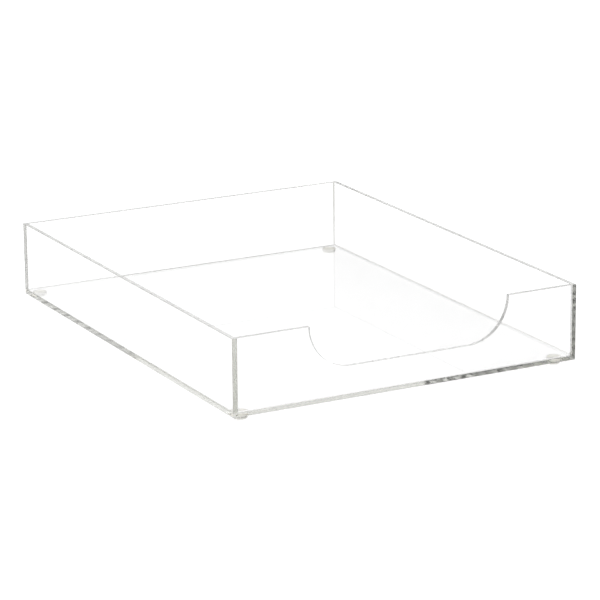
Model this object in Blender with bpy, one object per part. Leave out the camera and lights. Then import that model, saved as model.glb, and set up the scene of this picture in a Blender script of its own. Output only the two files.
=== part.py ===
"""Clear acrylic letter tray.

Five flat panels are cut from 3 mm acrylic sheet and cemented edge to face into an open tray:
a base plate, two long side panels standing on it, and a back and a front panel between the sides.
The front panel has a finger notch with quarter-round corners. Four clear bumper feet are stuck
under the base, each by its own disc of adhesive film. Nothing on the tray moves.

Metres, +Z up. The origin is on the surface that the feet stand on, under the middle of the tray.
+Y runs to the back, so the notched front panel is at -Y, and +X is to the right.
"""

import math

import bmesh
import bpy
from mathutils import Vector

# The tray's outside, for paper up to 216 x 279 mm or 210 x 297 mm
TRAY_WIDTH = 0.254
TRAY_LENGTH = 0.330
SHEET = 0.003
WALL_HEIGHT = 0.0485

# Joints: panels stand this far apart, and the cured cement fills most of that gap
JOINT_GAP = 0.0003
CEMENT_THICKNESS = 0.0002
CEMENT_INSET = 0.0002

# The finger notch in the front panel's top edge, cut a little to the right of the middle
NOTCH_OFFSET = 0.0013
NOTCH_WIDTH = 0.147
NOTCH_DEPTH = 0.030
NOTCH_CORNER_RADIUS = 0.030
NOTCH_CORNER_STEPS = 24

# Cut edges are broken with a scraper
ARRIS = 0.00015
ARRIS_ANGLE = math.radians(30)

# Bumper feet, stuck on by hand, so each sits at its own distance from the tray's two edges
FOOT_RADIUS = 0.005
FOOT_FLAT_RADIUS = 0.0031
FOOT_BODY = 0.0027
FOOT_DOME = 0.0019
FOOT_DOME_STEPS = 8
FOOT_TURN_STEPS = 48
FOOT_INSETS = {
    "front_left": (0.0080, 0.0065),
    "front_right": (0.0122, 0.0085),
    "back_left": (0.0098, 0.0080),
    "back_right": (0.0095, 0.0060),
}
ADHESIVE_RADIUS = 0.0047
ADHESIVE_THICKNESS = 0.0002
ADHESIVE_GAP = 0.00005

# Heights that follow from the sizes above
BASE_UNDERSIDE = FOOT_BODY + ADHESIVE_THICKNESS + 2 * ADHESIVE_GAP
BASE_TOP = BASE_UNDERSIDE + SHEET
WALL_FOOT = BASE_TOP + JOINT_GAP
WALL_MIDDLE = WALL_FOOT + WALL_HEIGHT / 2

# Sides: +1 is right or back, -1 is left or front
SIDES = {"left": -1, "right": 1}
ENDS = {"front": -1, "back": 1}

HALF_WIDTH = TRAY_WIDTH / 2
HALF_LENGTH = TRAY_LENGTH / 2
CROSS_PANEL_WIDTH = TRAY_WIDTH - 2 * (SHEET + JOINT_GAP)


def clear_scene():
    """Removes whatever the file holds before the tray is made."""
    for thing in list(bpy.data.objects):
        bpy.data.objects.remove(thing, do_unlink=True)


def make_material(name, colour, roughness, transmission, ior):
    """A clear plastic: a Principled BSDF that lets light through."""
    material = bpy.data.materials.new(name)
    material.use_nodes = True
    shader = material.node_tree.nodes["Principled BSDF"]
    shader.inputs["Base Color"].default_value = (*colour, 1.0)
    shader.inputs["Roughness"].default_value = roughness
    shader.inputs["Metallic"].default_value = 0.0
    shader.inputs["Transmission Weight"].default_value = transmission
    shader.inputs["IOR"].default_value = ior
    material.diffuse_color = (*colour, 1.0 - 0.7 * transmission)
    return material


def add_object(name, shape, material, tray):
    """Turns a bmesh into a named object with its material, under the tray's empty."""
    bmesh.ops.recalc_face_normals(shape, faces=shape.faces)
    mesh = bpy.data.meshes.new(name)
    shape.to_mesh(mesh)
    shape.free()
    mesh.materials.append(material)
    piece = bpy.data.objects.new(name, mesh)
    bpy.context.scene.collection.objects.link(piece)
    piece.parent = tray
    return piece


def extruded(outline, thickness):
    """A solid with the given outline in its own XY plane, from Z = 0 up to the thickness."""
    shape = bmesh.new()
    corners = [shape.verts.new((x, y, 0.0)) for x, y in outline]
    face = shape.faces.new(corners)
    grown = bmesh.ops.extrude_face_region(shape, geom=[face])
    lifted = [item for item in grown["geom"] if isinstance(item, bmesh.types.BMVert)]
    bmesh.ops.translate(shape, verts=lifted, vec=Vector((0.0, 0.0, thickness)))
    return shape


def rectangle(width, height):
    """The corners of a rectangle about the origin, anticlockwise."""
    x = width / 2
    y = height / 2
    return [(-x, -y), (x, -y), (x, y), (-x, y)]


def notched_rectangle(width, height):
    """The front panel's outline: a rectangle with the finger notch cut down from its top edge."""
    x = width / 2
    y = height / 2
    arc_x = NOTCH_WIDTH / 2 - NOTCH_CORNER_RADIUS
    arc_y = y - NOTCH_DEPTH + NOTCH_CORNER_RADIUS
    points = [(-x, -y), (x, -y), (x, y)]
    for side, first, last in ((1, 0.0, -90.0), (-1, -90.0, -180.0)):
        for step in range(NOTCH_CORNER_STEPS + 1):
            angle = math.radians(first + (last - first) * step / NOTCH_CORNER_STEPS)
            across = NOTCH_OFFSET + side * arc_x + NOTCH_CORNER_RADIUS * math.cos(angle)
            points.append((across, arc_y + NOTCH_CORNER_RADIUS * math.sin(angle)))
    points.append((-x, y))
    return points


def sheet_panel(name, outline, material, tray):
    """A panel cut flat from the sheet, with every cut edge slightly broken."""
    piece = add_object(name, extruded(outline, SHEET), material, tray)
    arris = piece.modifiers.new("arris", "BEVEL")
    arris.width = ARRIS
    arris.segments = 1
    arris.limit_method = "ANGLE"
    arris.angle_limit = ARRIS_ANGLE
    return piece


def make_base(material, tray):
    """The base plate lies flat under all four walls."""
    base = sheet_panel("base_panel", rectangle(TRAY_WIDTH, TRAY_LENGTH), material, tray)
    base.location = (0.0, 0.0, BASE_UNDERSIDE)


def make_side_panels(material, tray):
    """Full-length walls. Their end faces show at the tray's four upright corners."""
    for side, sign in SIDES.items():
        outline = rectangle(TRAY_LENGTH, WALL_HEIGHT)
        panel = sheet_panel(f"{side}_side_panel", outline, material, tray)
        panel.rotation_euler = (math.pi / 2, 0.0, math.pi / 2)
        lower_face = -HALF_WIDTH if sign < 0 else HALF_WIDTH - SHEET
        panel.location = (lower_face, 0.0, WALL_MIDDLE)


def make_cross_panels(material, tray):
    """The front and back walls stand on the base between the side panels."""
    outlines = {
        "front": notched_rectangle(CROSS_PANEL_WIDTH, WALL_HEIGHT),
        "back": rectangle(CROSS_PANEL_WIDTH, WALL_HEIGHT),
    }
    for end, sign in ENDS.items():
        panel = sheet_panel(f"{end}_panel", outlines[end], material, tray)
        panel.rotation_euler = (math.pi / 2, 0.0, 0.0)
        rear_face = HALF_LENGTH if sign > 0 else SHEET - HALF_LENGTH
        panel.location = (0.0, rear_face, WALL_MIDDLE)


def cement_line(name, size, centre, material, tray):
    """A thin film of cured cement: a slab of the given size about a centre."""
    slab = extruded(rectangle(size[0], size[1]), size[2])
    piece = add_object(name, slab, material, tray)
    piece.location = (centre[0], centre[1], centre[2] - size[2] / 2)
    return piece


def make_cement(material, tray):
    """One line under each wall, and one up each corner between a side and a cross panel."""
    strip = SHEET - 2 * CEMENT_INSET
    seam_height = BASE_TOP + JOINT_GAP / 2
    side_run = (strip, TRAY_LENGTH - 2 * CEMENT_INSET, CEMENT_THICKNESS)
    cross_run = (CROSS_PANEL_WIDTH - 2 * CEMENT_INSET, strip, CEMENT_THICKNESS)
    upright = (CEMENT_THICKNESS, strip, WALL_HEIGHT - 2 * CEMENT_INSET)
    for side, sign in SIDES.items():
        centre = (sign * (HALF_WIDTH - SHEET / 2), 0.0, seam_height)
        cement_line(f"cement_{side}_side_to_base", side_run, centre, material, tray)
    for end, sign in ENDS.items():
        centre = (0.0, sign * (HALF_LENGTH - SHEET / 2), seam_height)
        cement_line(f"cement_{end}_to_base", cross_run, centre, material, tray)
        for side, across in SIDES.items():
            corner_x = across * (HALF_WIDTH - SHEET - JOINT_GAP / 2)
            corner = (corner_x, sign * (HALF_LENGTH - SHEET / 2), WALL_MIDDLE)
            cement_line(f"cement_{end}_{side}_corner", upright, corner, material, tray)


def turned(profile):
    """A solid of revolution about Z, from a profile of (radius, height) that starts and ends at Z."""
    shape = bmesh.new()
    points = [shape.verts.new((radius, 0.0, height)) for radius, height in profile]
    edges = [shape.edges.new(pair) for pair in zip(points, points[1:])]
    bmesh.ops.spin(
        shape,
        geom=points + edges,
        cent=(0.0, 0.0, 0.0),
        axis=(0.0, 0.0, 1.0),
        angle=2 * math.pi,
        steps=FOOT_TURN_STEPS,
        use_merge=True,
    )
    bmesh.ops.remove_doubles(shape, verts=shape.verts, dist=0.00001)
    return shape


def foot_profile():
    """A bumper's outline: a flat it stands on, a rounded lower edge and a straight upper wall."""
    profile = [(0.0, 0.0)]
    reach = FOOT_RADIUS - FOOT_FLAT_RADIUS
    for step in range(FOOT_DOME_STEPS + 1):
        angle = math.pi / 2 * step / FOOT_DOME_STEPS
        radius = FOOT_FLAT_RADIUS + reach * math.sin(angle)
        profile.append((radius, FOOT_DOME * (1 - math.cos(angle))))
    profile.append((FOOT_RADIUS, FOOT_BODY))
    profile.append((0.0, FOOT_BODY))
    return profile


def disc_profile(radius, height):
    """The outline of a flat disc."""
    return [(0.0, 0.0), (radius, 0.0), (radius, height), (0.0, height)]


def make_feet(foot_material, film_material, tray):
    """Four bumpers, and the disc of adhesive film between each one and the base."""
    for corner, (from_side, from_end) in FOOT_INSETS.items():
        end, side = corner.split("_")
        x = SIDES[side] * (HALF_WIDTH - from_side)
        y = ENDS[end] * (HALF_LENGTH - from_end)
        foot = add_object(f"{corner}_foot", turned(foot_profile()), foot_material, tray)
        foot.location = (x, y, 0.0)
        film_shape = turned(disc_profile(ADHESIVE_RADIUS, ADHESIVE_THICKNESS))
        film = add_object(f"{corner}_foot_adhesive", film_shape, film_material, tray)
        film.location = (x, y, FOOT_BODY + ADHESIVE_GAP)
        for piece in (foot, film):
            piece.data.shade_smooth()
            piece.data.set_sharp_from_angle(angle=math.radians(35))


def main():
    clear_scene()
    tray = bpy.data.objects.new("letter_tray", None)
    bpy.context.scene.collection.objects.link(tray)
    acrylic = make_material("clear_acrylic", (0.97, 0.98, 0.97), 0.02, 1.0, 1.49)
    cement = make_material("acrylic_cement", (0.95, 0.96, 0.94), 0.08, 1.0, 1.48)
    bumper = make_material("clear_polyurethane", (0.93, 0.93, 0.88), 0.22, 0.85, 1.50)
    film = make_material("adhesive_film", (0.94, 0.93, 0.88), 0.40, 0.70, 1.47)
    make_base(acrylic, tray)
    make_side_panels(acrylic, tray)
    make_cross_panels(acrylic, tray)
    make_cement(cement, tray)
    make_feet(bumper, film, tray)


main()
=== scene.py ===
import math
import random

import bmesh
import bpy
from mathutils import Matrix, Vector
from mathutils.geometry import delaunay_2d_cdt


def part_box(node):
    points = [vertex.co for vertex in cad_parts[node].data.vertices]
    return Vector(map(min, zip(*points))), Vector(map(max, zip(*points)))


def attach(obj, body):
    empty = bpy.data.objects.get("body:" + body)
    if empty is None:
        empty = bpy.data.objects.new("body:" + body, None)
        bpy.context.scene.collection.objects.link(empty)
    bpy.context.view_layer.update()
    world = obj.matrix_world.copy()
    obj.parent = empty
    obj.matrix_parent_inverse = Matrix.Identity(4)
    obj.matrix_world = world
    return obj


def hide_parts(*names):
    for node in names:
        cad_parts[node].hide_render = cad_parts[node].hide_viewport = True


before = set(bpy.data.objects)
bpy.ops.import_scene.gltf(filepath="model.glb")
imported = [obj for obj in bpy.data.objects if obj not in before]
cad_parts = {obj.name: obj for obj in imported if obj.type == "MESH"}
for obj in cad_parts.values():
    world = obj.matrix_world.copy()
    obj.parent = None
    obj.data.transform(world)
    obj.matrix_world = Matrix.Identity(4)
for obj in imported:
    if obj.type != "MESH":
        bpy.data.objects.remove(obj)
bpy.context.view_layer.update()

# A letter tray of clear acrylic sheet: a base, four walls cemented round its rim, and four
# bumpers stuck underneath. Lengths are in metres, and every place comes from the CAD frame.

BODY = "root"
X, Y, Z = 0, 1, 2

# The two axes that span a sheet, for each axis that runs through its thickness
PLANE = {X: (Y, Z), Y: (X, Z), Z: (X, Y)}

# Material slots of a sheet, and those of a cement film or a bumper
FACE, EDGE, BOND, DRY, SECOND_EDGE = 0, 1, 2, 3, 4
OPEN, STUCK = 0, 1

# A sheet's corners are broken where they turn by more than CORNER_ABOVE. Every piece is shaded
# smoothly where it turns by less than SMOOTH_BELOW. Marks on a cut edge run across the thickness.
ARRIS = 0.00016
ARRIS_STEPS = 2
CORNER_ABOVE = math.radians(30)
SMOOTH_BELOW = math.radians(12)
MARK_SCALE_ACROSS = 0.12

# A face looks along an axis if that part of its normal is above SQUARE_ON. A face by a wall's
# top looks up if it is above UPWARD. The other three are distances too small to matter.
SQUARE_ON = 0.9
UPWARD = 0.3
SCORE_WITHIN = 1e-7
LEVEL_WITHIN = 1e-6
FILL_WITHIN = 1e-9

# The finger notch in the front wall: two arcs run down into a level floor
NOTCH_OFFSET = 0.0013
NOTCH_WIDTH = 0.147
NOTCH_DEPTH = 0.030
NOTCH_RADIUS = 0.030
NOTCH_STEPS = 48

# Cement films: both long sides of a film are hollow, by a depth that wavers along the joint
CEMENT_CLEARANCE = 0.00002
CEMENT_STATIONS = 96
CEMENT_PROFILE = 5
CEMENT_DIP = 0.00004
CEMENT_WAVER = 0.00003

# A waver is a sum of sine waves. Each has its angle in radians from end to end, and its share.
WAVES = 5
WAVE_ANGLES = (2, 40)
WAVE_SHARES = (0.3, 1.0)

# Every waver has a seed of its own: the side walls' feet count up from 0, the others from these
END_FOOT_SEEDS = 10
LEFT_CORNER_SEEDS = 20
RIGHT_CORNER_SEEDS = 30
ADHESIVE_SEEDS = 40
FAR_SIDE_SEEDS = 100

# Bumpers and their adhesive discs
FOOT_FLAT_RADIUS = 0.0031
FOOT_DOME = 0.0019
FOOT_LIP = 0.00012
FOOT_DRAFT = 0.00005
FOOT_DISH = 0.00003
FOOT_DISH_SHARE = 0.6
FOOT_STEPS = 72
DOME_STEPS = 10
LIP_STEPS = 3
RIM_WAVER = 0.00006

# Optics: the absorption per metre of plastic is the density times one minus the colour
ACRYLIC_IOR = 1.49
POLYURETHANE_IOR = 1.47
ABSORPTION_COLOUR = (0.720, 0.725, 0.670)
ABSORPTION_DENSITY = 2.0
LIGHT_BOUNCES = 192
DIFFUSE_BOUNCES = 6
TRANSPARENT_BOUNCES = 64

# Camera, fitted to the tray's outline and edges in the photo
CAMERA_PLACE = (-0.9475, -1.8057, 0.6045)
CAMERA_AZIMUTH = math.radians(-27.892)
CAMERA_ELEVATION = math.radians(15.970)
CAMERA_ROLL = math.radians(-0.496)
CAMERA_LENS = 184.84
SENSOR = 36.0
CLIP_END = 100.0

# Studio: the angles are in degrees, and light fades in between each pair
FLOOR_HALF = 15.0
FLOOR_DROP = 0.0002
FLOOR_ALBEDO = 0.35
FLOOR_GLOW = 0.88
BACKDROP_LIGHT = 1.30
BACKDROP_ANGLES = (45, 56)
OVERHEAD_LIGHT = 1.30
OVERHEAD_HEIGHTS = (28, 42)
SIDE_LIGHT = 0.80
SIDE_ANGLES = (34, 50)
WINDOW_RISE = 0.28
ROOM_LIGHT = 0.04


# ------------------------------------------------------------------------------ node helper

class Nodes:
    """Short calls for writing a node tree."""

    def __init__(self, tree):
        self.tree = tree
        tree.nodes.clear()

    def add(self, kind, inputs=None, **settings):
        node = self.tree.nodes.new("ShaderNode" + kind)
        for name, value in settings.items():
            setattr(node, name, value)
        for name, value in (inputs or {}).items():
            self.feed(node.inputs[name], value)
        return node

    def feed(self, socket, value):
        """Link a socket to another, or set its own value."""
        if isinstance(value, bpy.types.NodeSocket):
            self.tree.links.new(value, socket)
        else:
            socket.default_value = value

    def metres(self, scale=(1, 1, 1), turn=(0, 0, 0)):
        """The piece's own coordinates, which are in metres."""
        place = self.add("TexCoord").outputs["Object"]
        angles = tuple(math.radians(angle) for angle in turn)
        mapping = self.add("Mapping", {"Vector": place, "Rotation": angles, "Scale": scale})
        return mapping.outputs["Vector"]

    def noise(self, place, scale, detail=2.0, roughness=0.5):
        values = {"Vector": place, "Scale": scale, "Detail": detail, "Roughness": roughness}
        return self.add("TexNoise", values).outputs["Fac"]

    def ramp(self, value, low, high, to_low=0.0, to_high=1.0):
        values = {"Value": value, "From Min": low, "From Max": high, "To Min": to_low, "To Max": to_high}
        return self.add("MapRange", values, interpolation_type="SMOOTHSTEP").outputs["Result"]

    def math(self, operation, first, second):
        node = self.add("Math", operation=operation)
        self.feed(node.inputs[0], first)
        self.feed(node.inputs[1], second)
        return node.outputs["Value"]

    def tint(self, factor, first, second):
        node = self.add("Mix", data_type="RGBA")
        self.feed(node.inputs["Factor"], factor)
        self.feed(node.inputs["A"], (*first, 1))
        self.feed(node.inputs["B"], (*second, 1))
        return node.outputs["Result"]

    def bump(self, height, depth, normal=None):
        values = {"Height": height, "Distance": depth, "Strength": 1.0}
        if normal is not None:
            values["Normal"] = normal
        return self.add("Bump", values).outputs["Normal"]


# ------------------------------------------------------------------------------ materials

def clear_material(name, ior, colour=(1, 1, 1), roughness=0.0):
    """A clear plastic that also swallows a little light on its way through."""
    material = bpy.data.materials.new(name)
    material.use_nodes = True
    nodes = Nodes(material.node_tree)
    shader = nodes.add("BsdfPrincipled", {
        "Base Color": (*colour, 1),
        "Roughness": roughness,
        "Transmission Weight": 1.0,
        "IOR": ior,
    })
    volume = nodes.add("VolumeAbsorption", {
        "Color": (*ABSORPTION_COLOUR, 1),
        "Density": ABSORPTION_DENSITY,
    })
    nodes.add("OutputMaterial", {"Surface": shader.outputs["BSDF"], "Volume": volume.outputs["Volume"]})
    return material, nodes, shader


def sheet_face_material():
    """Cast sheet as it leaves its film: glassy, with a few wiping marks and hairlines."""
    material, nodes, shader = clear_material("acrylic_sheet_face", ACRYLIC_IOR)
    stretched = nodes.metres(scale=(1, 1, 3), turn=(20, 35, 10))
    wiped = nodes.noise(stretched, scale=42.0, detail=5.0, roughness=0.6)
    smudge = nodes.ramp(wiped, low=0.56, high=0.80, to_low=0.0, to_high=0.02)
    hairs = nodes.noise(nodes.metres(scale=(9000, 22, 22), turn=(25, 40, 65)), scale=1.0)
    crossed = nodes.noise(nodes.metres(scale=(22, 8000, 22), turn=(50, 15, 30)), scale=1.0)
    first_hairs = nodes.ramp(hairs, low=0.76, high=0.82)
    second_hairs = nodes.ramp(crossed, low=0.77, high=0.83)
    hairlines = nodes.math("MAXIMUM", first_hairs, second_hairs)
    dulled = nodes.math("MULTIPLY", hairlines, 0.03)
    nodes.feed(shader.inputs["Roughness"], nodes.math("ADD", smudge, dulled))
    nodes.feed(shader.inputs["Normal"], nodes.bump(hairlines, depth=-0.0000004))
    return material


def edge_material(name, thin, brightness, roughness, frost=0.0):
    """A cut edge: fine marks across the thickness over a slow waver, and frosted in patches.

    Brightness and roughness are each a range; a low brightness range is painted shade. Frost is how milky
    the surface is on average.
    """
    material, nodes, shader = clear_material(name, ACRYLIC_IOR)
    stretched = [1.0, 1.0, 1.0]
    stretched[thin] = MARK_SCALE_ACROSS
    marks = nodes.noise(nodes.metres(stretched), scale=2600.0, detail=3.0, roughness=0.6)
    slow_waver = nodes.noise(nodes.metres(stretched), scale=420.0, detail=2.0, roughness=0.5)
    patches = nodes.noise(nodes.metres(), scale=160.0, detail=3.0, roughness=0.6)
    wavy = nodes.bump(slow_waver, depth=0.000012)
    nodes.feed(shader.inputs["Normal"], nodes.bump(marks, depth=0.0000025, normal=wavy))
    smooth, rough = roughness
    dulled = nodes.ramp(patches, low=0.35, high=0.68, to_low=smooth, to_high=rough)
    nodes.feed(shader.inputs["Roughness"], dulled)
    if frost:
        clearest, milkiest = 1.0 - 0.8 * frost, 1.0 - 1.2 * frost
        clear = nodes.ramp(patches, low=0.35, high=0.68, to_low=clearest, to_high=milkiest)
        nodes.feed(shader.inputs["Transmission Weight"], clear)
    # The marks move the tint between the ends of the brightness range; where that range is low, the tint is
    # painted shade.
    dull, bright = brightness
    shade = nodes.ramp(marks, low=0.25, high=0.75)
    tint = nodes.tint(shade, (dull, dull, dull - 0.01), (bright, bright, bright - 0.01))
    nodes.feed(shader.inputs["Base Color"], tint)
    return material


def bonded_material():
    """A well wetted joint: the cement has melted the face away, so light passes straight on."""
    return clear_material("acrylic_bonded_face", 1.0)[0]


def dry_joint_material():
    """A joint with a breath of air left in it: it mirrors like a sheet face, but streakily."""
    material, nodes, shader = clear_material("acrylic_dry_joint_face", ACRYLIC_IOR)
    streaks = nodes.noise(nodes.metres(), scale=520.0, detail=4.0, roughness=0.65)
    dulled = nodes.ramp(streaks, low=0.3, high=0.7, to_low=0.04, to_high=0.30)
    nodes.feed(shader.inputs["Roughness"], dulled)
    nodes.feed(shader.inputs["Normal"], nodes.bump(streaks, depth=0.000006))
    return material


def joint_material(name, dull, bright):
    """Set cement between two faces: it doesn't bend light, and its streaks dim it a little. On some joints
    the whole range is set low as painted shade.
    """
    material, nodes, shader = clear_material(name, 1.0)
    streaks = nodes.noise(nodes.metres(), scale=520.0, detail=4.0, roughness=0.65)
    shade = nodes.ramp(streaks, low=0.35, high=0.65)
    tint = nodes.tint(shade, (dull, dull, dull), (bright, bright, bright))
    nodes.feed(shader.inputs["Base Color"], tint)
    return material


def cement_material():
    """The thin line of set cement that shows at a joint, with its specks of trapped air."""
    material, nodes, shader = clear_material("set_cement", ACRYLIC_IOR, (0.96, 0.96, 0.95))
    place = nodes.metres()
    streaks = nodes.noise(place, scale=900.0, detail=4.0, roughness=0.65)
    specks = nodes.noise(place, scale=3600.0, detail=1.0)
    dulled = nodes.ramp(streaks, low=0.3, high=0.7, to_low=0.06, to_high=0.22)
    clear = nodes.ramp(specks, low=0.66, high=0.74, to_low=1.0, to_high=0.35)
    nodes.feed(shader.inputs["Roughness"], dulled)
    nodes.feed(shader.inputs["Transmission Weight"], clear)
    nodes.feed(shader.inputs["Normal"], nodes.bump(streaks, depth=0.000004))
    return material


def bumper_material():
    """Clear polyurethane: soft, a little hazy and a little yellow."""
    material, nodes, shader = clear_material("clear_bumper", POLYURETHANE_IOR)
    place = nodes.metres()
    cloud = nodes.noise(place, scale=700.0, detail=4.0, roughness=0.6)
    peel = nodes.noise(place, scale=2400.0, detail=2.0)
    dust = nodes.noise(place, scale=5200.0, detail=1.0)
    haze = nodes.ramp(cloud, low=0.3, high=0.7)
    dulled = nodes.ramp(cloud, low=0.3, high=0.7, to_low=0.42, to_high=0.54)
    clear = nodes.ramp(dust, low=0.68, high=0.76, to_low=0.80, to_high=0.60)
    nodes.feed(shader.inputs["Base Color"], nodes.tint(haze, (0.98, 0.97, 0.92), (0.95, 0.94, 0.90)))
    nodes.feed(shader.inputs["Roughness"], dulled)
    nodes.feed(shader.inputs["Transmission Weight"], clear)
    nodes.feed(shader.inputs["Normal"], nodes.bump(peel, depth=0.000004))
    return material


def adhesive_material():
    """The adhesive disc: it wets the sheet in patches, and its air pockets look milky."""
    material, nodes, shader = clear_material("adhesive_disc", 1.0)
    wetting = nodes.noise(nodes.metres(), scale=1100.0, detail=4.0, roughness=0.65)
    pockets = nodes.ramp(wetting, low=0.46, high=0.66)
    clear = nodes.ramp(wetting, low=0.46, high=0.66, to_low=0.96, to_high=0.84)
    dulled = nodes.ramp(wetting, low=0.3, high=0.7, to_low=0.3, to_high=0.5)
    nodes.feed(shader.inputs["Base Color"], nodes.tint(pockets, (0.98, 0.97, 0.92), (0.93, 0.92, 0.88)))
    nodes.feed(shader.inputs["Transmission Weight"], clear)
    nodes.feed(shader.inputs["Roughness"], dulled)
    return material


# How the tray is finished, with painted shade in the darker edge and joint tints. The ranges were set by
# comparing each band of the tray with the photo.
BUFFED = (0.05, 0.12)
SHEET_FACE = sheet_face_material()
# The side walls' top rims are tinted darker than the end walls' rims: painted shade.
SIDE_RIM_PAINTED_SHADE = edge_material("scraped_side_rim_painted_shade", X, brightness=(0.80, 0.91), roughness=(0.14, 0.24), frost=0.25)
END_RIM = edge_material("scraped_end_rim", Y, brightness=(0.90, 1.0), roughness=(0.12, 0.22), frost=0.30)
LEFT_WALL_ENDS = edge_material("buffed_left_wall_ends", X, brightness=(0.94, 1.0), roughness=BUFFED)
# The right wall's ends are tinted much darker than the left wall's: painted shade.
RIGHT_WALL_ENDS_PAINTED_SHADE = edge_material("buffed_right_wall_ends_painted_shade", X, brightness=(0.62, 0.74), roughness=BUFFED)
# The base's ends are tinted darker than its long sides: painted shade.
BASE_ENDS_PAINTED_SHADE = edge_material("buffed_base_ends_painted_shade", Z, brightness=(0.78, 0.86), roughness=BUFFED)
BASE_SIDES = edge_material("buffed_base_sides", Z, brightness=(0.92, 0.98), roughness=BUFFED)
NOTCH_EDGE = edge_material("sawn_notch_edge", Y, brightness=(0.94, 1.0), roughness=(0.20, 0.34), frost=0.62)
BONDED = bonded_material()
DRY_JOINT = dry_joint_material()
CEMENT = cement_material()
SIDE_JOINT = joint_material("cement_in_side_joint", dull=0.96, bright=1.0)
# The front and back joints' cement is tinted darker than the side joints': painted shade, over the streaks'
# own tone.
FRONT_JOINT_PAINTED_SHADE = joint_material("cement_in_front_joint", dull=0.72, bright=0.90)
BACK_JOINT_PAINTED_SHADE = joint_material("cement_in_back_joint", dull=0.60, bright=0.78)
BUMPER = bumper_material()
ADHESIVE = adhesive_material()


# ------------------------------------------------------------------------------ mesh helpers

def finish_piece(name, shape, materials, node):
    """Turn a shape into a piece that rides on the tray and stands for a CAD node."""
    bmesh.ops.recalc_face_normals(shape, faces=shape.faces)
    mesh = bpy.data.meshes.new(name)
    shape.to_mesh(mesh)
    shape.free()
    for material in materials:
        mesh.materials.append(material)
    mesh.shade_smooth()
    mesh.set_sharp_from_angle(angle=SMOOTH_BELOW)
    piece = bpy.data.objects.new(name, mesh)
    bpy.context.scene.collection.objects.link(piece)
    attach(piece, BODY)
    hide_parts(node)
    return piece


def placed(axes, values):
    point = Vector((0, 0, 0))
    for axis, value in zip(axes, values):
        point[axis] = value
    return point


def rectangle(low, high, thin):
    along, across = PLANE[thin]
    left, right = low[along], high[along]
    bottom, top = low[across], high[across]
    return [(left, bottom), (right, bottom), (right, top), (left, top)]


def extruded(outline, low, high, thin):
    """A sheet of the outline's shape, between two heights along its thin axis."""
    shape = bmesh.new()
    axes = (*PLANE[thin], thin)
    rim = [shape.verts.new(placed(axes, (u, v, low[thin]))) for u, v in outline]
    bottom = shape.faces.new(rim)
    grown = bmesh.ops.extrude_face_region(shape, geom=[bottom])
    moved = [item for item in grown["geom"] if isinstance(item, bmesh.types.BMVert)]
    bmesh.ops.translate(shape, verts=moved, vec=placed([thin], [high[thin] - low[thin]]))
    bmesh.ops.recalc_face_normals(shape, faces=shape.faces)
    return shape


def score(shape, axis, value):
    """Draw a line of edges right round the shape, where a plane crosses it."""
    everything = list(shape.verts) + list(shape.edges) + list(shape.faces)
    bmesh.ops.bisect_plane(shape, geom=everything, dist=SCORE_WITHIN,
                           plane_co=placed([axis], [value]), plane_no=placed([axis], [1]))


def break_edges(shape):
    """Take the sharpness off every open corner; cemented corners stay square."""
    open_corners = []
    for edge in shape.edges:
        cemented = any(face.material_index in (BOND, DRY) for face in edge.link_faces)
        if not cemented and edge.calc_face_angle(0) > CORNER_ABOVE:
            open_corners.append(edge)
    bmesh.ops.bevel(shape, geom=open_corners, offset=ARRIS, segments=ARRIS_STEPS, profile=0.5,
                    affect="EDGES", material=EDGE)


def dress_sheet(shape, thin, joint_at):
    """Sort the faces into sheet faces, cut edges and cemented faces, then break the corners.

    The second kind of edge is a wall's top edge, or the long sides of the base.
    """
    for face in shape.faces:
        face.normal_update()
        joint = joint_at(face.calc_center_median(), face.normal)
        if joint is not None:
            face.material_index = joint
        elif abs(face.normal[thin]) > SQUARE_ON:
            face.material_index = FACE
        else:
            face.material_index = EDGE
    break_edges(shape)
    top = max(corner.co.z for corner in shape.verts)
    for face in shape.faces:
        face.normal_update()
        on_long_side = abs(face.normal.x) > abs(face.normal.y)
        on_top = face.normal.z > UPWARD and face.calc_center_median().z > top - 2 * ARRIS
        if face.material_index == EDGE and (on_long_side if thin == Z else on_top):
            face.material_index = SECOND_EDGE


def finish_sheet(name, node, shape, edge, second_edge):
    materials = [SHEET_FACE, edge, BONDED, DRY_JOINT, second_edge]
    finish_piece(name, shape, materials, node)


# How well the cement wetted each joint: along the walls' feet and up the four corners
FOOT_JOINTS = {"left": BOND, "right": BOND, "front": DRY, "back": BOND}


def corner_joint(place):
    return BOND if place.x > 0 and place.y > 0 else DRY


# ------------------------------------------------------------------------------ the base

BASE_LOW, BASE_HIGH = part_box("base_panel")
LEFT_LOW, LEFT_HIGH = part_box("left_side_panel")
RIGHT_LOW, RIGHT_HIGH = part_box("right_side_panel")
FRONT_LOW, FRONT_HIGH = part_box("front_panel")
BACK_LOW, BACK_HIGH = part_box("back_panel")
CORNERS = ("front_left", "front_right", "back_left", "back_right")


def disc_of(node):
    """Centre and radius of a round node, seen from above."""
    low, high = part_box(node)
    return (low + high) / 2, (high.x - low.x) / 2


ADHESIVE_DISCS = [disc_of(f"{corner}_foot_adhesive") for corner in CORNERS]


def under_adhesive(point):
    return any((point.xy - centre.xy).length < radius for centre, radius in ADHESIVE_DISCS)


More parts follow.
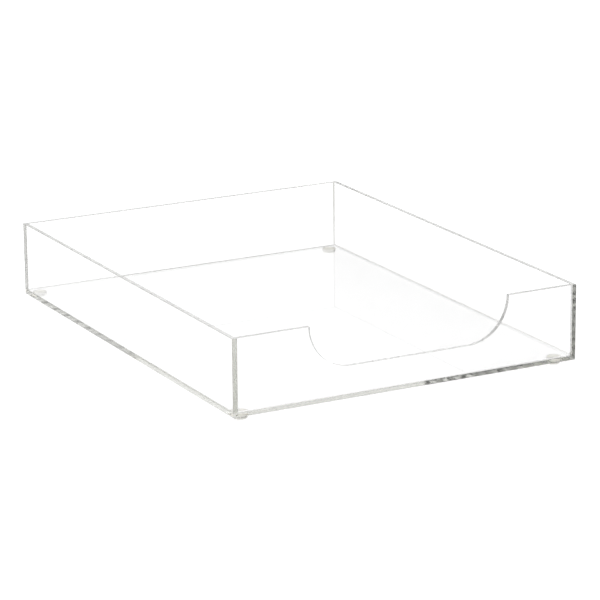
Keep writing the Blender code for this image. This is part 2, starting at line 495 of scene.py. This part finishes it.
def redraw_underside(shape):
    """Give the flat underside a round face where each adhesive disc sticks to it."""
    level = BASE_LOW.z
    above = level + LEVEL_WITHIN
    under = [face for face in shape.faces if all(vert.co.z < above for vert in face.verts)]
    bmesh.ops.delete(shape, geom=under, context="FACES")
    rim = [edge for edge in shape.edges if len(edge.link_faces) == 1]
    verts = sorted({vert for edge in rim for vert in edge.verts}, key=lambda vert: tuple(vert.co))
    index_of = {vert: index for index, vert in enumerate(verts)}
    points = [vert.co.xy for vert in verts]
    lines = [(index_of[edge.verts[0]], index_of[edge.verts[1]]) for edge in rim]
    for centre, radius in ADHESIVE_DISCS:
        first = len(points)
        for step in range(FOOT_STEPS):
            angle = math.tau * step / FOOT_STEPS
            points.append(centre.xy + radius * Vector((math.cos(angle), math.sin(angle))))
            verts.append(shape.verts.new((points[-1].x, points[-1].y, level)))
            lines.append((first + step, first + (step + 1) % FOOT_STEPS))
    _, _, triangles, sources, *_ = delaunay_2d_cdt(points, lines, [], 1, FILL_WITHIN)
    for triangle in triangles:
        face = shape.faces.new([verts[sources[index][0]] for index in triangle])
        face.material_index = BOND if under_adhesive(face.calc_center_median()) else FACE


def base_joint(centre, normal):
    """The strips of the base's upper face that the four walls stand on."""
    if normal.z < SQUARE_ON:
        return None
    if not LEFT_HIGH.x < centre.x < RIGHT_LOW.x:
        return FOOT_JOINTS["left" if centre.x < 0 else "right"]
    if not FRONT_HIGH.y < centre.y < BACK_LOW.y:
        return FOOT_JOINTS["front" if centre.y < 0 else "back"]
    return None


def build_base():
    shape = extruded(rectangle(BASE_LOW, BASE_HIGH, Z), BASE_LOW, BASE_HIGH, Z)
    for axis, value in ((X, LEFT_HIGH.x), (X, RIGHT_LOW.x), (Y, FRONT_HIGH.y), (Y, BACK_LOW.y)):
        score(shape, axis, value)
    dress_sheet(shape, Z, base_joint)
    redraw_underside(shape)
    finish_sheet("base_sheet", "base_panel", shape, BASE_ENDS_PAINTED_SHADE, BASE_SIDES)


# ------------------------------------------------------------------------------ the walls

def build_side(side, low, high, inward):
    """A side wall runs the whole length, so the end walls are cemented to its inner face."""

    def joint_at(centre, normal):
        if normal.z < -SQUARE_ON:
            return FOOT_JOINTS[side]
        beside_end_wall = centre.y < FRONT_HIGH.y or centre.y > BACK_LOW.y
        return corner_joint(centre) if normal.x * inward > SQUARE_ON and beside_end_wall else None

    shape = extruded(rectangle(low, high, X), low, high, X)
    score(shape, Y, FRONT_HIGH.y)
    score(shape, Y, BACK_LOW.y)
    dress_sheet(shape, X, joint_at)
    ends = LEFT_WALL_ENDS if inward > 0 else RIGHT_WALL_ENDS_PAINTED_SHADE
    finish_sheet(f"{side}_side_sheet", f"{side}_side_panel", shape, ends, SIDE_RIM_PAINTED_SHADE)


def notched_outline(low, high):
    """The front wall's outline, with the notch's two arcs."""
    centre_x = NOTCH_WIDTH / 2 - NOTCH_RADIUS
    centre_z = high.z - NOTCH_DEPTH + NOTCH_RADIUS
    outline = [(low.x, low.z), (high.x, low.z), (high.x, high.z)]
    for side, first in ((1, 0.0), (-1, -90.0)):
        for step in range(NOTCH_STEPS + 1):
            angle = math.radians(first - 90.0 * step / NOTCH_STEPS)
            across = NOTCH_OFFSET + side * centre_x + NOTCH_RADIUS * math.cos(angle)
            outline.append((across, centre_z + NOTCH_RADIUS * math.sin(angle)))
    outline.append((low.x, high.z))
    return outline


def build_end(end, low, high, outline):
    """An end wall stands between the side walls, cemented along its foot and both ends."""

    def joint_at(centre, normal):
        if normal.z < -SQUARE_ON and centre.z < low.z + ARRIS:
            return FOOT_JOINTS[end]
        at_end = abs(normal.x) > SQUARE_ON and abs(centre.x) > high.x - ARRIS
        return corner_joint(centre) if at_end else None

    shape = extruded(outline, low, high, Y)
    dress_sheet(shape, Y, joint_at)
    finish_sheet(f"{end}_sheet", f"{end}_panel", shape, NOTCH_EDGE, END_RIM)


# ------------------------------------------------------------------------------ the cement

def waver(seed, size):
    """A slow random curve along a joint, the same on every run."""
    draw = random.Random(seed)
    waves = []
    for _ in range(WAVES):
        angle = draw.uniform(*WAVE_ANGLES)
        start = draw.uniform(0, math.tau)
        waves.append((angle, start, draw.uniform(*WAVE_SHARES)))
    total = sum(share for _, _, share in waves)

    def at(way):
        return size * sum(share * math.sin(angle * way + start) for angle, start, share in waves) / total

    return at


def build_cement(name, low, high, thin, long, joint, seed):
    """A film of cement in a joint, whose two long sides draw back in a hollow curve."""
    wide = 3 - thin - long
    axes = (wide, thin, long)
    shape = bmesh.new()
    near = waver(seed, CEMENT_WAVER)
    far = waver(seed + FAR_SIDE_SEEDS, CEMENT_WAVER)

    def hollow_side(edge, dip):
        """One long side of the section, across the film's thickness."""
        side = []
        for step in range(CEMENT_PROFILE):
            share = step / (CEMENT_PROFILE - 1)
            hollow = 1 - (2 * share - 1) ** 2
            height = low[thin] + share * (high[thin] - low[thin])
            side.append((edge + dip * hollow, height))
        return side

    rings = []
    for station in range(CEMENT_STATIONS + 1):
        way = station / CEMENT_STATIONS
        along = low[long] + way * (high[long] - low[long])
        section = hollow_side(low[wide], CEMENT_DIP + near(way))
        section += reversed(hollow_side(high[wide], -CEMENT_DIP - far(way)))
        rings.append([shape.verts.new(placed(axes, (*point, along))) for point in section])
    for first, second in zip(rings, rings[1:]):
        for index in range(len(first)):
            after = (index + 1) % len(first)
            face = shape.faces.new((first[index], first[after], second[after], second[index]))
            between_sides = index % CEMENT_PROFILE == CEMENT_PROFILE - 1
            face.material_index = STUCK if between_sides else OPEN
    shape.faces.new(rings[0])
    shape.faces.new(rings[-1])
    finish_piece(name.replace("_to_", "_") + "_film", shape, [CEMENT, joint], name)


def build_cements():
    gap = CEMENT_CLEARANCE
    bottom, top = BASE_HIGH.z + gap, LEFT_LOW.z - gap
    side_walls = (("left", LEFT_LOW, LEFT_HIGH), ("right", RIGHT_LOW, RIGHT_HIGH))
    for seed, (side, low, high) in enumerate(side_walls):
        build_cement(f"cement_{side}_side_to_base", Vector((low.x, low.y, bottom)),
                     Vector((high.x, high.y, top)), Z, Y, SIDE_JOINT, seed)
    inner_left, inner_right = LEFT_HIGH.x + gap, RIGHT_LOW.x - gap
    end_walls = (("front", FRONT_LOW, FRONT_HIGH, FRONT_JOINT_PAINTED_SHADE), ("back", BACK_LOW, BACK_HIGH, BACK_JOINT_PAINTED_SHADE))
    for seed, (end, low, high, joint) in enumerate(end_walls):
        build_cement(f"cement_{end}_to_base", Vector((inner_left, low.y, bottom)),
                     Vector((inner_right, high.y, top)), Z, X, joint, END_FOOT_SEEDS + seed)
        build_cement(f"cement_{end}_left_corner", Vector((inner_left, low.y, low.z)),
                     Vector((low.x - gap, high.y, high.z)), X, Z, SIDE_JOINT, LEFT_CORNER_SEEDS + seed)
        build_cement(f"cement_{end}_right_corner", Vector((high.x + gap, low.y, low.z)),
                     Vector((inner_right, high.y, high.z)), X, Z, SIDE_JOINT, RIGHT_CORNER_SEEDS + seed)


# ------------------------------------------------------------------------------ the bumpers

def turned(profile, centre, rim_waver=0.0, seed=0):
    """A solid turned about a vertical axis; the profile runs from pole to pole."""
    shape = bmesh.new()
    wobble = waver(seed, rim_waver)
    rings = []
    for radius, height in profile[1:-1]:
        ring = []
        for step in range(FOOT_STEPS):
            turn = step / FOOT_STEPS
            swing = wobble(turn) * math.sin(math.pi * turn)
            reach = radius + swing
            angle = math.tau * turn
            ring.append(shape.verts.new((centre.x + reach * math.cos(angle),
                                         centre.y + reach * math.sin(angle), height)))
        rings.append(ring)
    first_pole = shape.verts.new((centre.x, centre.y, profile[0][1]))
    last_pole = shape.verts.new((centre.x, centre.y, profile[-1][1]))
    for step in range(FOOT_STEPS):
        after = (step + 1) % FOOT_STEPS
        shape.faces.new((first_pole, rings[0][step], rings[0][after]))
        for upper, lower in zip(rings, rings[1:]):
            shape.faces.new((upper[step], lower[step], lower[after], upper[after]))
        shape.faces.new((last_pole, rings[-1][after], rings[-1][step]))
    return shape


def bumper_profile(radius, stuck_radius, bottom, top):
    """From the stuck top, over a small lip and down the dome to the worn flat."""
    profile = [(0, top), (stuck_radius, top)]
    for step in range(LIP_STEPS + 1):
        angle = math.radians(90.0 * step / LIP_STEPS)
        profile.append((radius - FOOT_DRAFT - FOOT_LIP * (1 - math.sin(angle)),
                        top - FOOT_LIP * (1 - math.cos(angle))))
    for step in range(DOME_STEPS + 1):
        angle = math.radians(90.0 * (1 - step / DOME_STEPS))
        profile.append((FOOT_FLAT_RADIUS + (radius - FOOT_FLAT_RADIUS) * math.sin(angle),
                        bottom + FOOT_DOME * (1 - math.cos(angle))))
    profile.append((FOOT_DISH_SHARE * FOOT_FLAT_RADIUS, bottom + FOOT_DISH))
    profile.append((0, bottom + FOOT_DISH))
    return profile


def build_foot(corner, seed):
    node = f"{corner}_foot"
    low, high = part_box(node)
    centre, radius = disc_of(node)
    film_low, film_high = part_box(f"{node}_adhesive")
    film_radius = (film_high.x - film_low.x) / 2
    shape = turned(bumper_profile(radius, film_radius, low.z, high.z), centre)
    for face in shape.faces:
        middle = face.calc_center_median()
        reach = math.hypot(middle.x - centre.x, middle.y - centre.y)
        under_film = middle.z > high.z - LEVEL_WITHIN and reach < film_radius
        face.material_index = STUCK if under_film else OPEN
    finish_piece(f"{corner}_bumper", shape, [BUMPER, BONDED], node)
    round_over = (film_high.z - film_low.z) / 4
    profile = [
        (0, film_high.z),
        (film_radius - round_over, film_high.z),
        (film_radius, film_high.z - round_over),
        (film_radius, film_low.z + round_over),
        (film_radius - round_over, film_low.z),
        (0, film_low.z),
    ]
    film = turned(profile, centre, RIM_WAVER, seed)
    finish_piece(f"{corner}_adhesive_film", film, [ADHESIVE], f"{node}_adhesive")


build_base()
build_side("left", LEFT_LOW, LEFT_HIGH, 1)
build_side("right", RIGHT_LOW, RIGHT_HIGH, -1)
build_end("front", FRONT_LOW, FRONT_HIGH, notched_outline(FRONT_LOW, FRONT_HIGH))
build_end("back", BACK_LOW, BACK_HIGH, rectangle(BACK_LOW, BACK_HIGH, Y))
build_cements()
for seed, corner in enumerate(CORNERS):
    build_foot(corner, ADHESIVE_SEEDS + seed)


# ------------------------------------------------------------------------------ the studio

def build_floor():
    """A pale light table, lit from within, so that nothing on it casts a hard shadow."""
    mesh = bpy.data.meshes.new("floor")
    corners = [(x, y, 0) for x, y in ((-1, -1), (1, -1), (1, 1), (-1, 1))]
    mesh.from_pydata([FLOOR_HALF * Vector(corner) for corner in corners], [], [(0, 1, 2, 3)])
    floor = bpy.data.objects.new("floor", mesh)
    bpy.context.scene.collection.objects.link(floor)
    floor.location.z = -FLOOR_DROP
    material = bpy.data.materials.new("floor_white")
    material.use_nodes = True
    nodes = Nodes(material.node_tree)
    shader = nodes.add("BsdfPrincipled", {
        "Base Color": (FLOOR_ALBEDO, FLOOR_ALBEDO, FLOOR_ALBEDO, 1),
        "Roughness": 1.0,
        "Specular IOR Level": 0.0,
        "Emission Color": (1, 1, 1, 1),
        "Emission Strength": FLOOR_GLOW,
    })
    nodes.add("OutputMaterial", {"Surface": shader.outputs["BSDF"]})
    mesh.materials.append(material)


def window(nodes, way, heading, angles, around, within):
    """A large round window: one light level within its inner angle, another past its outer one.

    Its middle lies at a heading, turned clockwise from +Y, and a little above the horizon.
    """
    inner, outer = (math.radians(angle) for angle in angles)
    direction = Vector((math.sin(heading), math.cos(heading), WINDOW_RISE)).normalized()
    aim = nodes.add("VectorMath", operation="DOT_PRODUCT")
    nodes.feed(aim.inputs[0], way)
    nodes.feed(aim.inputs[1], direction)
    return nodes.ramp(aim.outputs["Value"], math.cos(outer), math.cos(inner), around, within)


def build_light():
    """A bright backdrop, a softer light at the front right, and a bright ceiling."""
    world = bpy.data.worlds.new("studio")
    bpy.context.scene.world = world
    world.use_nodes = True
    nodes = Nodes(world.node_tree)
    way = nodes.add("TexCoord").outputs["Generated"]
    facing = -CAMERA_AZIMUTH
    backdrop = window(nodes, way, facing, BACKDROP_ANGLES, ROOM_LIGHT, BACKDROP_LIGHT)
    side = window(nodes, way, math.pi - facing, SIDE_ANGLES, 0.0, SIDE_LIGHT)
    height = nodes.add("SeparateXYZ", {"Vector": way}).outputs["Z"]
    ceiling = nodes.ramp(height, *(math.sin(math.radians(angle)) for angle in OVERHEAD_HEIGHTS))
    around = nodes.math("MAXIMUM", backdrop, side)
    strength = nodes.add("Mix", {"Factor": ceiling}, data_type="FLOAT")
    nodes.feed(strength.inputs["A"], around)
    nodes.feed(strength.inputs["B"], OVERHEAD_LIGHT)
    background = nodes.add("Background", {"Strength": strength.outputs["Result"]})
    nodes.add("OutputWorld", {"Surface": background.outputs["Background"]})


def build_camera():
    data = bpy.data.cameras.new("camera")
    data.lens = CAMERA_LENS
    data.sensor_width = SENSOR
    data.clip_end = CLIP_END
    camera = bpy.data.objects.new("camera", data)
    bpy.context.scene.collection.objects.link(camera)
    right = Vector((math.cos(CAMERA_AZIMUTH), math.sin(CAMERA_AZIMUTH), 0))
    level = Vector((-math.sin(CAMERA_AZIMUTH), math.cos(CAMERA_AZIMUTH), 0))
    forward = math.cos(CAMERA_ELEVATION) * level - math.sin(CAMERA_ELEVATION) * Vector((0, 0, 1))
    up = right.cross(forward)
    tilted_right = math.cos(CAMERA_ROLL) * right + math.sin(CAMERA_ROLL) * up
    tilted_up = math.cos(CAMERA_ROLL) * up - math.sin(CAMERA_ROLL) * right
    turn = Matrix((tilted_right, tilted_up, -forward)).transposed()
    camera.matrix_world = Matrix.Translation(CAMERA_PLACE) @ turn.to_4x4()
    bpy.context.scene.camera = camera


def set_light_paths():
    """Light runs the whole length of a sheet by bouncing between its faces."""
    scene = bpy.context.scene
    scene.view_settings.view_transform = "Standard"
    scene.cycles.max_bounces = LIGHT_BOUNCES
    scene.cycles.glossy_bounces = LIGHT_BOUNCES
    scene.cycles.transmission_bounces = LIGHT_BOUNCES
    scene.cycles.diffuse_bounces = DIFFUSE_BOUNCES
    scene.cycles.transparent_max_bounces = TRANSPARENT_BOUNCES


build_floor()
build_light()
build_camera()
set_light_paths()
